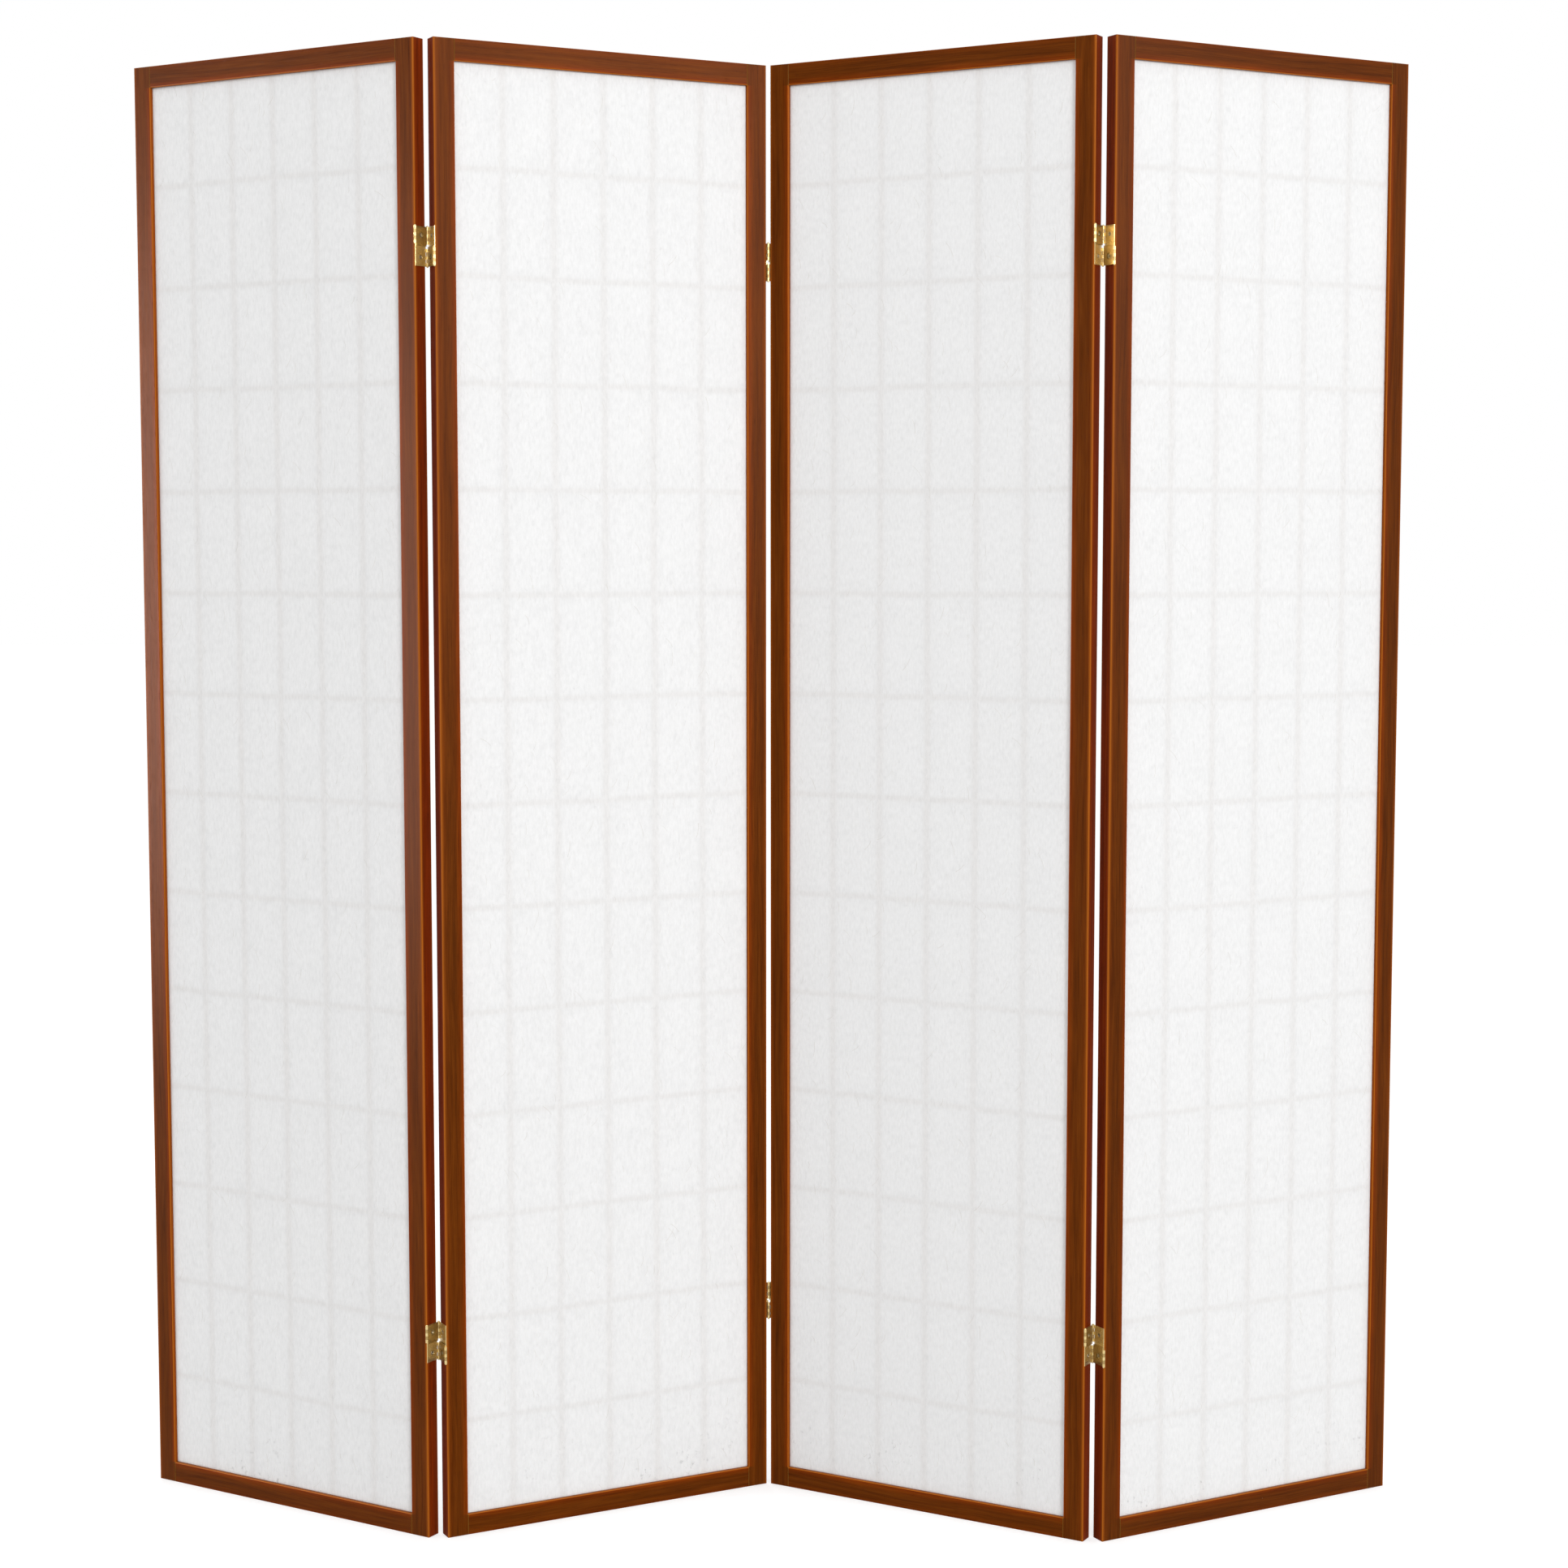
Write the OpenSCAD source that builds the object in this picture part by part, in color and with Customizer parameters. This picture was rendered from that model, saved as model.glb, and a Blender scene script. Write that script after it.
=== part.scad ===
// Folding shoji screen: four wooden panels with paper over a half-lapped lattice,
// joined by two-way brass hinges and standing in a zigzag.
// Millimetres, +Z up, the papered front faces -Y.

/* [Panels] */
// Height of a panel
panel_h = 1784; // [1200:1:2200]
// Width of a panel
panel_w = 433.5; // [300:0.5:700]
// Thickness of a panel's frame, front to back
panel_t = 20; // [17:0.5:30]
// Width of the two stiles
stile_w = 26; // [21:0.5:60]
// Height of the top rail
top_rail_h = 26; // [20:0.5:80]
// Height of the bottom rail
bottom_rail_h = 25.5; // [20:0.5:120]
// Radius of the eased edges along the stiles and round the opening
edge_r = 1.5; // [0.5:0.1:2.8]
// Radius of the eased edges at the top and the foot
end_edge_r = 0.6; // [0.3:0.1:2]
// Width of the fine groove along the joints of stile and rail
joint_groove_w = 0.7; // [0.2:0.1:1]
// Length of the tenons on the rails
tenon_l = 17; // [8:0.5:18]
// Thickness of the tenons
tenon_t = 6.5; // [4:0.5:8]
// Shoulder above and below each tenon
tenon_shoulder = 4; // [2:0.5:7]

/* [Paper and lattice] */
// Depth of the paper behind the front face
paper_set = 4.8; // [3:0.1:5.5]
// Thickness of the paper
paper_t = 0.6; // [0.3:0.1:1]
// Width of the paper's border held in the frame's groove
paper_tuck = 4; // [2:0.5:8]
// Number of upright bars
upright_count = 5; // [1:1:9]
// Number of cross bars
cross_count = 13; // [2:1:20]
// Width of a bar, seen from the front
bar_w = 7.5; // [4:0.5:12]
// Depth of a bar, front to back
bar_d = 8; // [5:0.5:10]
// Length of a bar's end housed in the frame
bar_housing = 5; // [2:0.5:6]
// How much lower the bottom row of spaces is than the others
bottom_row_trim = 7; // [0:0.5:30]

/* [Hinges] */
// Distance of a hinge's middle from the panel's nearer end
hinge_inset = 239; // [120:1:400]
// Height of a hinge's leaves
leaf_h = 46; // [40:1:70]
// Thickness of the brass sheet
sheet_t = 0.8; // [0.6:0.05:0.9]
// Space between two panels when they lie flat
panel_gap = 3.3; // [3.2:0.1:6]
// How far the pins' axes stand proud of the panel's faces
pin_proud = 1.6; // [1.6:0.1:4]
// Diameter of the pins
pin_d = 1.6; // [1.2:0.1:1.8]
// Diameter of the pins' heads
pin_head_d = 2.8; // [2.4:0.1:3.2]
// Height of the pins' heads
pin_head_h = 0.9; // [0.4:0.1:2]
// Number of knuckles along one pin (odd, the leaf has the end ones)
knuckle_count = 5; // [3:2:7]
// Open height between the upper and the lower knuckles
middle_gap = 5; // [2:0.5:8]
// Distance of the screws from the hinge's middle
screw_z = 12.7; // [9:0.1:15]
// Length of a screw
screw_l = 13; // [8:0.5:14]
// Diameter of a screw's shank
screw_d = 2.6; // [2:0.1:3.2]
// Diameter of a screw's countersunk head
screw_head_d = 5.4; // [4.6:0.1:6.4]
// Length of a screw's pointed end
screw_tip_l = 5; // [3:0.5:6]
// Diameter of the point
screw_tip_d = 0.6; // [0.4:0.1:1]
// Length of each arm of the cross in a screw's head, tip to tip
cross_l = 3.2; // [2:0.1:4]
// Width of the cross's arms
cross_w = 0.8; // [0.4:0.1:1]
// Depth of the cross
cross_depth = 0.6; // [0.3:0.1:0.8]
// Diameter of the holes in the link plates that reach the screws
access_d = 7; // [6.8:0.1:9]
// Height between the upper and the lower link plate
plate_split = 0.6; // [0.3:0.1:1.5]

/* [Standing pose] */
// Turn from flat between the first and second panels
fold_angle_12 = 58.15; // [10:0.05:150]
// Turn from flat between the second and third panels
fold_angle_23 = 57.1; // [10:0.05:150]
// Turn from flat between the third and fourth panels
fold_angle_34 = 57.8; // [10:0.05:150]

/* [Clearances] */
// Space round wood joints, bars and screws
fit_clear = 0.1; // [0.05:0.05:0.3]
// Radial space between a pin and its knuckles
run_clear = 0.05; // [0.02:0.01:0.1]
// Height between two knuckles on a pin
knuckle_clear = 0.2; // [0.1:0.05:0.4]
// Space between a knuckle and the edge of the sheet beside it
notch_clear = 0.4; // [0.3:0.05:1]

/* [Hidden] */
$fn = 48;
// Overshoot of cuts past the faces they open
over = 1;
panel_count = 4;
folds = [fold_angle_12, fold_angle_23, fold_angle_34];
levels = ["bottom", "top"];

wood = "#6d3d21";
white_paper = "#f2f1ee";
brass = "#b58c45";
steel = "#a39a8c";

// Opening inside a panel's frame
opening_w = panel_w - 2 * stile_w;
opening_h = panel_h - top_rail_h - bottom_rail_h;
opening_top = panel_h - top_rail_h;
function rail_z(level) = level == "bottom" ? 0 : opening_top;
function rail_h(level) = level == "bottom" ? bottom_rail_h : top_rail_h;

// Lattice: equal columns, and rows set out down from the top rail
lattice_y = paper_set + paper_t;
column_pitch = (opening_w + bar_w) / (upright_count + 1);
row_pitch = (opening_h + bar_w + bottom_row_trim) / (cross_count + 1);
upright_x = [for (i = [1 : upright_count]) stile_w - bar_w / 2 + i * column_pitch];
cross_z = [for (i = [1 : cross_count]) opening_top + bar_w / 2 - i * row_pitch];
lap_y = lattice_y + bar_d / 2;

// Hinges: local X runs across the gap, Y from front to back, Z up, zero in the middle
half_gap = panel_gap / 2;
hinge_z = [hinge_inset, panel_h - hinge_inset];
pin_y = panel_t / 2 + pin_proud;
pin_r = pin_d / 2;
bore_r = pin_r + run_clear;
knuckle_r = half_gap;
knuckle_zone = leaf_h / 2 - middle_gap / 2;
knuckle_h = knuckle_zone / knuckle_count;
sheet_reach = min(panel_t / 2 - notch_clear, pin_y - knuckle_r - notch_clear);
leaf_face_x = sheet_t - half_gap;
screw_head_h = (screw_head_d - screw_d) / 2;

// Panels in plan: odd junctions turn on the rear pins, even ones on the front pins
lead = (3 * fold_angle_12 - 2 * fold_angle_23 + fold_angle_34) / 4;
function turns_on_rear(j) = j % 2 == 1;
function pivot_y(j) = panel_t / 2 + (turns_on_rear(j) ? pin_y : -pin_y);
function heading(k) = k == 1 ? -lead : heading(k - 1) + folds[k - 2] * (turns_on_rear(k - 1) ? 1 : -1);
function turned(p, a) = [p.x * cos(a) - p.y * sin(a), p.x * sin(a) + p.y * cos(a)];
function right_pivot(j) = turned([panel_w + half_gap, pivot_y(j)], heading(j));
function left_pivot(j) = turned([-half_gap, pivot_y(j)], heading(j + 1));
function corner(k) = k == 1 ? [0, 0] : corner(k - 1) + right_pivot(k - 1) - left_pivot(k - 1);

// Middle of the standing screen's outline in plan, which becomes the origin
plan_points = [
    for (k = [1 : panel_count], x = [0, panel_w], y = [0, panel_t])
        corner(k) + turned([x, y], heading(k))
];
plan_xs = [for (p = plan_points) p.x];
plan_ys = [for (p = plan_points) p.y];
plan_middle = [min(plan_xs) + max(plan_xs), min(plan_ys) + max(plan_ys)] / 2;

// Hinged edges of panel k: the screen's two ends have none
function hinged_edges(k) = [if (k > 1) "left", if (k < panel_count) "right"];
// Panel that each link plate of junction j stays with as the screen folds
function upper_plate_panel(j) = turns_on_rear(j) ? j : j + 1;
function lower_plate_panel(j) = turns_on_rear(j) ? j + 1 : j;

panel_parts = ["left_stile", "right_stile", "top_rail", "bottom_rail", "paper",
    "upright_bars", "cross_bars", "hinge_screws", "hinge_pins"];
hinge_parts = ["left_leaf", "right_leaf", "upper_plate", "lower_plate"];

// Moves a piece from a panel's own frame (left front foot at zero) to its standing place
module in_panel(k) {
    place = corner(k) - plan_middle;
    translate([place.x, place.y, 0])
        rotate([0, 0, heading(k)])
            children();
}

// Moves a piece from a hinge's frame to a hinged edge of its panel
module on_edge(edge, z) {
    x = edge == "right" ? panel_w + half_gap : -half_gap;
    translate([x, panel_t / 2, z])
        rotate([0, 0, edge == "right" ? 0 : 180])
            children();
}

// Repeats a piece at both hinges of each hinged edge of panel k
module at_hinges(k) {
    for (edge = hinged_edges(k), z = hinge_z)
        on_edge(edge, z)
            children();
}

// Repeats the upper half of a hinge as its lower half, turned over front to back
module both_halves() {
    children();
    rotate([180, 0, 0])
        children();
}

// Rectangle from the origin with rounded corners
module eased_section(w, h, r) {
    translate([r, 0])
        square([w - 2 * r, h]);
    translate([0, r])
        square([w, h - 2 * r]);
    for (x = [r, w - r], y = [r, h - r])
        translate([x, y])
            circle(r);
}

// Cutter for one eased edge, with the wood at negative X and positive Y of it
module edge_cutter() {
    difference() {
        translate([-edge_r, -over])
            square(edge_r + over);
        translate([-edge_r, edge_r])
            circle(edge_r);
    }
}

// Gap through the panel's thickness with its four edges eased
module eased_gap(from, to) {
    translate([from, -over])
        square([to - from, panel_t + 2 * over]);
    for (x = [from, to], y = [0, panel_t])
        translate([x, y])
            mirror([x == to ? 1 : 0, 0])
                mirror([0, y == 0 ? 0 : 1])
                    edge_cutter();
}

// Extrudes an outline drawn in height and depth along X
module along_x(length) {
    translate([length, 0, 0])
        rotate([0, -90, 0])
            linear_extrude(length)
                children();
}

// Whole panel before its stiles and rails are parted
module panel_blank() {
    intersection() {
        linear_extrude(panel_h)
            eased_section(panel_w, panel_t, edge_r);
        along_x(panel_w)
            eased_section(panel_h, panel_t, end_edge_r);
    }
}

// The panel's opening, its eased edges mitred at the corners
module panel_opening() {
    intersection() {
        linear_extrude(panel_h)
            eased_gap(stile_w, panel_w - stile_w);
        along_x(panel_w)
            eased_gap(bottom_rail_h, opening_top);
    }
}

// Fine grooves along the joints of stiles and rails, in both faces
module joint_grooves() {
    side = joint_groove_w / sqrt(2);
    for (x = [stile_w, panel_w - stile_w], y = [0, panel_t])
        translate([x, y, panel_h / 2])
            rotate([0, 0, 45])
                cube([side, side, panel_h + 2 * over], center = true);
}

// Box grown by the same space on every side
module box_with_space(from, size, space) {
    translate(from - [space, space, space])
        cube(size + 2 * [space, space, space]);
}

// Paper with its border in the frame's groove, and the room that the groove gives it
module paper_sheet(space) {
    box_with_space(
        [stile_w - paper_tuck, paper_set, bottom_rail_h - paper_tuck],
        [opening_w + 2 * paper_tuck, paper_t, opening_h + 2 * paper_tuck],
        space
    );
}

// Plain lengths of the bars before the laps are cut
module upright_blank(x, space) {
    box_with_space(
        [x - bar_w / 2, lattice_y, bottom_rail_h - bar_housing],
        [bar_w, bar_d, opening_h + 2 * bar_housing],
        space
    );
}

module cross_blank(z, space) {
    box_with_space(
        [stile_w - bar_housing, lattice_y, z - bar_w / 2],
        [opening_w + 2 * bar_housing, bar_d, bar_w],
        space
    );
}

// Tenons at both ends of a rail, in one length
module tenons(level, space) {
    box_with_space(
        [stile_w - tenon_l, (panel_t - tenon_t) / 2, rail_z(level) + tenon_shoulder],
        [opening_w + 2 * tenon_l, tenon_t, rail_h(level) - 2 * tenon_shoulder],
        space
    );
}

module stile(k, edge) {
    x = edge == "left" ? -over : panel_w - stile_w;
    color(wood)
        difference() {
            intersection() {
                panel_blank();
                translate([x, -over, -over])
                    cube([stile_w + over, panel_t + 2 * over, panel_h + 2 * over]);
            }
            panel_opening();
            joint_grooves();
            paper_sheet(fit_clear);
            for (level = levels)
                tenons(level, fit_clear);
            for (z = cross_z)
                cross_blank(z, fit_clear);
            at_hinges(k)
                both_halves()
                    at_screw()
                        screw_body(fit_clear);
        }
}

module rail(level) {
    color(wood)
        difference() {
            union() {
                intersection() {
                    panel_blank();
                    translate([stile_w, -over, rail_z(level) - over])
                        cube([opening_w, panel_t + 2 * over, rail_h(level) + 2 * over]);
                }
                tenons(level, 0);
            }
            panel_opening();
            joint_grooves();
            paper_sheet(fit_clear);
            for (x = upright_x)
                upright_blank(x, fit_clear);
        }
}

module paper() {
    color(white_paper)
        paper_sheet(0);
}

// Upright bars, lapped from behind over the cross bars
module upright_bars() {
    color(wood)
        for (x = upright_x)
            difference() {
                upright_blank(x, 0);
                for (z = cross_z)
                    box_with_space(
                        [x - bar_w, lap_y, z - bar_w / 2],
                        [2 * bar_w, bar_d, bar_w],
                        fit_clear / 2
                    );
            }
}

// Cross bars, lapped from in front over the upright bars
module cross_bars() {
    color(wood)
        for (z = cross_z)
            difference() {
                cross_blank(z, 0);
                for (x = upright_x)
                    box_with_space(
                        [x - bar_w / 2, lap_y - bar_d, z - bar_w],
                        [bar_w, bar_d, 2 * bar_w],
                        fit_clear / 2
                    );
            }
}

// Countersunk screw along +Z with its head's face at zero, grown by a space all round
module screw_body(space) {
    shank_l = screw_l - screw_tip_l;
    grown = 2 * space;
    cylinder(h = screw_head_h, d1 = screw_head_d + grown, d2 = screw_d + grown);
    cylinder(h = shank_l, d = screw_d + grown);
    translate([0, 0, shank_l])
        cylinder(h = screw_tip_l + space, d1 = screw_d + grown, d2 = screw_tip_d + grown);
}

module screw() {
    difference() {
        screw_body(0);
        for (arm = [[cross_l, cross_w], [cross_w, cross_l]])
            translate([-arm.x / 2, -arm.y / 2, -over])
                cube([arm.x, arm.y, cross_depth + over]);
    }
}

// Places a piece along +Z as a screw of a leaf: head in the leaf, shank in the stile
module at_screw() {
    translate([leaf_face_x, 0, screw_z])
        rotate([0, -90, 0])
            children();
}

module hinge_screws(k) {
    color(steel)
        at_hinges(k)
            both_halves()
                at_screw()
                    screw();
}

// Pin with its head on the outer end, on the front axis
module pin() {
    top = leaf_h / 2 + knuckle_clear;
    translate([0, -pin_y, middle_gap / 2])
        cylinder(h = top - middle_gap / 2, r = pin_r);
    translate([0, -pin_y, top])
        cylinder(h = pin_head_h, d1 = pin_head_d, d2 = pin_head_d - pin_head_h);
}

// Each leaf holds two pins: the upper one in front and the lower one behind
module hinge_pins(k) {
    color(brass)
        at_hinges(k)
            both_halves()
                pin();
}

// Bores of the pins on the front axis
module pin_bore() {
    translate([0, -pin_y, 0])
        cylinder(h = leaf_h / 2 + over, r = bore_r);
}

// Room for the mating knuckles on the front axis, starting with the given one
module knuckle_notches(first) {
    outer_y = pin_y + knuckle_r + over;
    for (i = [first : 2 : knuckle_count - 1]) {
        z = middle_gap / 2 + i * knuckle_h - knuckle_clear / 2;
        translate([-half_gap - over, -outer_y, z])
            cube([panel_gap + 2 * over, outer_y - sheet_reach, knuckle_h + knuckle_clear]);
    }
}

// Knuckles before they are parted, rolled from a sheet that starts at x
module knuckle(x) {
    translate([0, 0, middle_gap / 2])
        linear_extrude(knuckle_zone) {
            translate([0, -pin_y])
                circle(knuckle_r);
            translate([x, -pin_y])
                square([sheet_t, pin_y]);
        }
}

// Upper half of a leaf on a panel's right-hand edge, with its knuckles in front
module half_leaf() {
    difference() {
        union() {
            translate([-half_gap, -sheet_reach, 0])
                cube([sheet_t, 2 * sheet_reach, leaf_h / 2]);
            knuckle(-half_gap);
        }
        knuckle_notches(1);
        pin_bore();
        at_screw()
            screw_body(fit_clear);
    }
}

module leaf() {
    color(brass)
        both_halves()
            half_leaf();
}

// Link plate between the front pin of one leaf and the rear pin of the other
module upper_plate() {
    color(brass)
        difference() {
            union() {
                translate([-sheet_t / 2, -sheet_reach, plate_split / 2])
                    cube([sheet_t, 2 * sheet_reach, leaf_h / 2 - plate_split / 2]);
                for (a = [0, 180])
                    rotate([0, 0, a])
                        knuckle(-sheet_t / 2);
            }
            for (a = [0, 180])
                rotate([0, 0, a]) {
                    knuckle_notches(0);
                    pin_bore();
                }
            translate([-half_gap, 0, screw_z])
                rotate([0, 90, 0])
                    cylinder(h = panel_gap, d = access_d);
        }
}

module lower_plate() {
    rotate([180, 0, 0])
        upper_plate();
}

// Places a piece of the hinge at junction j with panel k, which is on one side of it
module in_hinge(j, k, z) {
    in_panel(k)
        on_edge(k == j ? "right" : "left", z)
            children();
}

for (k = [1 : panel_count]) {
    tag = str("panel_", k, "_");
    in_panel(k) stile(k, "left");
    in_panel(k) stile(k, "right");
    in_panel(k) rail("top");
    in_panel(k) rail("bottom");
    in_panel(k) paper();
    in_panel(k) upright_bars();
    in_panel(k) cross_bars();
    in_panel(k) hinge_screws(k);
    in_panel(k) hinge_pins(k);
}

for (j = [1 : panel_count - 1], i = [0, 1]) {
    tag = str("hinge_", j, j + 1, "_", levels[i], "_");
    z = hinge_z[i];
    up = upper_plate_panel(j);
    low = lower_plate_panel(j);
    in_hinge(j, j, z) leaf();
    in_hinge(j, j + 1, z) leaf();
    in_hinge(j, up, z) upper_plate();
    in_hinge(j, low, z) lower_plate();
}
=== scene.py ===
import math

import bmesh
import bpy
from mathutils import Matrix, Vector


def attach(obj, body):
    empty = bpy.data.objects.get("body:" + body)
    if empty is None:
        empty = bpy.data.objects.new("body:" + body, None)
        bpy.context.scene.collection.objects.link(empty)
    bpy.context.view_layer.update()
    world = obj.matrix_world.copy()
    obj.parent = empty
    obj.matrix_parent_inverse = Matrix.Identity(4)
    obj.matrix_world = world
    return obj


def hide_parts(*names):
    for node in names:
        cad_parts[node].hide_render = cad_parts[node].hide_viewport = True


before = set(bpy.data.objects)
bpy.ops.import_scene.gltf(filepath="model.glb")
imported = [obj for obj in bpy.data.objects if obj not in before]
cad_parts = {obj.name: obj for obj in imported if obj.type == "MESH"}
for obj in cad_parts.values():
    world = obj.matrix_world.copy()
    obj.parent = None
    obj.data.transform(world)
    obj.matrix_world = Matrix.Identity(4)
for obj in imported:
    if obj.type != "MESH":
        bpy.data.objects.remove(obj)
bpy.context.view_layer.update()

# Folding shoji screen: four stained frames with washi over a lattice, on two-way brass hinges.
# Metres throughout. Each panel is dressed in its own frame: x along it, y front to back, z up.
panelNumbers = (1, 2, 3, 4)
noiseSpan = (0.3, 0.7)  # where nearly all of a noise's values lie


# colours are written as the 0 to 255 values a colour picker shows
def colour(red, green, blue):
    def linear(level):
        level /= 255
        return level / 12.92 if level <= 0.04045 else ((level + 0.055) / 1.055) ** 2.4
    return (linear(red), linear(green), linear(blue), 1.0)


# sockets or plain values for a node's inputs
def feed(tree, node, inputs):
    for key, value in inputs.items():
        if isinstance(value, bpy.types.NodeSocket):
            tree.links.new(value, node.inputs[key])
        else:
            node.inputs[key].default_value = value


def add(tree, kind, inputs=None, **settings):
    node = tree.nodes.new(kind)
    for key, value in settings.items():
        setattr(node, key, value)
    feed(tree, node, inputs or {})
    return node


def calc(tree, operation, *values):
    return add(tree, "ShaderNodeMath", dict(enumerate(values)), operation=operation).outputs[0]


def combine(tree, x=0.0, y=0.0, z=0.0):
    return add(tree, "ShaderNodeCombineXYZ", {0: x, 1: y, 2: z}).outputs[0]


def split(tree, vector):
    return add(tree, "ShaderNodeSeparateXYZ", {0: vector}).outputs


def remap(tree, value, low, high, toLow=0.0, toHigh=1.0, smooth=False):
    settings = {"interpolation_type": "SMOOTHSTEP" if smooth else "LINEAR"}
    inputs = dict(enumerate((value, low, high, toLow, toHigh)))
    return add(tree, "ShaderNodeMapRange", inputs, **settings).outputs[0]


# a noise's usual values brought to others
def fromNoise(tree, value, toLow, toHigh):
    return remap(tree, value, *noiseSpan, toLow, toHigh)


def mixColour(tree, factor, first, second, blend="MIX"):
    inputs = {0: factor, 6: first, 7: second}
    return add(tree, "ShaderNodeMix", inputs, data_type="RGBA", blend_type=blend).outputs[2]


def tinted(tree, shade, tint):
    return mixColour(tree, 1.0, shade, tint, "MULTIPLY")


def ramp(tree, factor, stops):
    node = add(tree, "ShaderNodeValToRGB", {0: factor})
    points = node.color_ramp.elements
    while len(points) < len(stops):
        points.new(0.5)
    for point, (place, shade) in zip(points, stops):
        point.position = place
        point.color = shade
    return node.outputs[0]


def noise(tree, vector, scale, detail=2.0, roughness=0.5):
    stretched = add(tree, "ShaderNodeVectorMath", {0: vector, 1: scale}, operation="MULTIPLY")
    inputs = {"Vector": stretched.outputs[0], "Scale": 1.0, "Detail": detail, "Roughness": roughness}
    return add(tree, "ShaderNodeTexNoise", inputs).outputs[0]


def relief(tree, height, strength, depth):
    return add(tree, "ShaderNodeBump", {"Height": height, "Strength": strength, "Distance": depth}).outputs[0]


def newMaterial(name):
    material = bpy.data.materials.new(name)
    material.use_nodes = True
    return material, material.node_tree, material.node_tree.nodes["Principled BSDF"]


def nodePoints(number, part):
    return [v.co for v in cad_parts[f"panel_{number}_{part}"].data.vertices]


# where each panel stands and how large it is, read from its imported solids
def panelPlace(number):
    points = nodePoints(number, "paper")
    middle = sum(points, Vector()) / len(points)
    along = sum(((p - middle) * (1 if p.x > middle.x else -1) for p in points), Vector())
    heading = math.atan2(along.y, along.x)
    turn = Matrix.Rotation(heading, 4, "Z")
    nearStile = [turn.inverted() @ p for p in nodePoints(number, "left_stile")]
    corner = turn @ Vector((min(p.x for p in nearStile), min(p.y for p in nearStile), 0))
    toWorld = Matrix.Translation(corner) @ turn
    farStile = [toWorld.inverted() @ p for p in nodePoints(number, "right_stile")]
    size = Vector([max(p[i] for p in farStile) for i in range(3)])
    return {"heading": heading, "corner": corner, "toWorld": toWorld, "size": size}


panels = {number: panelPlace(number) for number in panelNumbers}


def localPoints(number, part):
    back = panels[number]["toWorld"].inverted()
    return [back @ p for p in nodePoints(number, part)]


def localBox(number, part):
    points = localPoints(number, part)
    low = Vector([min(p[i] for p in points) for i in range(3)])
    high = Vector([max(p[i] for p in points) for i in range(3)])
    return low, high


# middles of the groups of values along one axis, such as bars side by side
def middles(points, axis, gap):
    values = sorted(p[axis] for p in points)
    groups = [[values[0]]]
    for value in values[1:]:
        if value - groups[-1][-1] > gap:
            groups.append([])
        groups[-1].append(value)
    return [(group[0] + group[-1]) / 2 for group in groups]


# geometry node trees
def newTree(name, inputs):
    tree = bpy.data.node_groups.new(name, "GeometryNodeTree")
    for label, kind in inputs.items():
        tree.interface.new_socket(label, in_out="INPUT", socket_type="NodeSocket" + kind)
    tree.interface.new_socket("Geometry", in_out="OUTPUT", socket_type="NodeSocketGeometry")
    return tree, add(tree, "NodeGroupInput").outputs


def closeTree(tree, geometry, material):
    real = add(tree, "GeometryNodeRealizeInstances", {"Geometry": geometry})
    painted = add(tree, "GeometryNodeSetMaterial", {"Geometry": real.outputs[0], "Material": material})
    add(tree, "NodeGroupOutput", {0: painted.outputs[0]})


def chance(tree, low, high, seed):
    node = add(tree, "FunctionNodeRandomValue", {"Seed": seed}, data_type="FLOAT")
    for label, value in (("Min", low), ("Max", high)):
        socket = next(s for s in node.inputs if s.name == label and s.type == "VALUE")
        if isinstance(value, bpy.types.NodeSocket):
            tree.links.new(value, socket)
        else:
            socket.default_value = value
    return next(s for s in node.outputs if s.type == "VALUE")


# keeps a value with the mesh, for its material to read
def store(tree, inputs, kind, domain):
    return add(tree, "GeometryNodeStoreNamedAttribute", inputs, data_type=kind, domain=domain).outputs[0]


# turns a shape so that one of its axes points along a vector
def align(tree, inputs, axis, **settings):
    return add(tree, "FunctionNodeAlignRotationToVector", inputs, axis=axis, **settings).outputs[0]


# runs a tree on a start mesh and keeps its result as a plain mesh
def grow(name, tree, values, start=None, thickness=0.0):
    piece = bpy.data.objects.new(name, start or bpy.data.meshes.new(name))
    bpy.context.scene.collection.objects.link(piece)
    maker = piece.modifiers.new("maker", "NODES")
    maker.node_group = tree
    for socket in tree.interface.items_tree:
        if socket.in_out == "INPUT" and socket.name in values:
            maker[socket.identifier] = values[socket.name]
    if thickness:
        wall = piece.modifiers.new("wall", "SOLIDIFY")
        wall.thickness = thickness
        wall.offset = -1
    graph = bpy.context.evaluated_depsgraph_get()
    made = piece.evaluated_get(graph)
    plain = bpy.data.meshes.new_from_object(made, preserve_all_data_layers=True, depsgraph=graph)
    piece.modifiers.clear()
    piece.data = plain
    plain.name = name
    return piece


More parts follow.
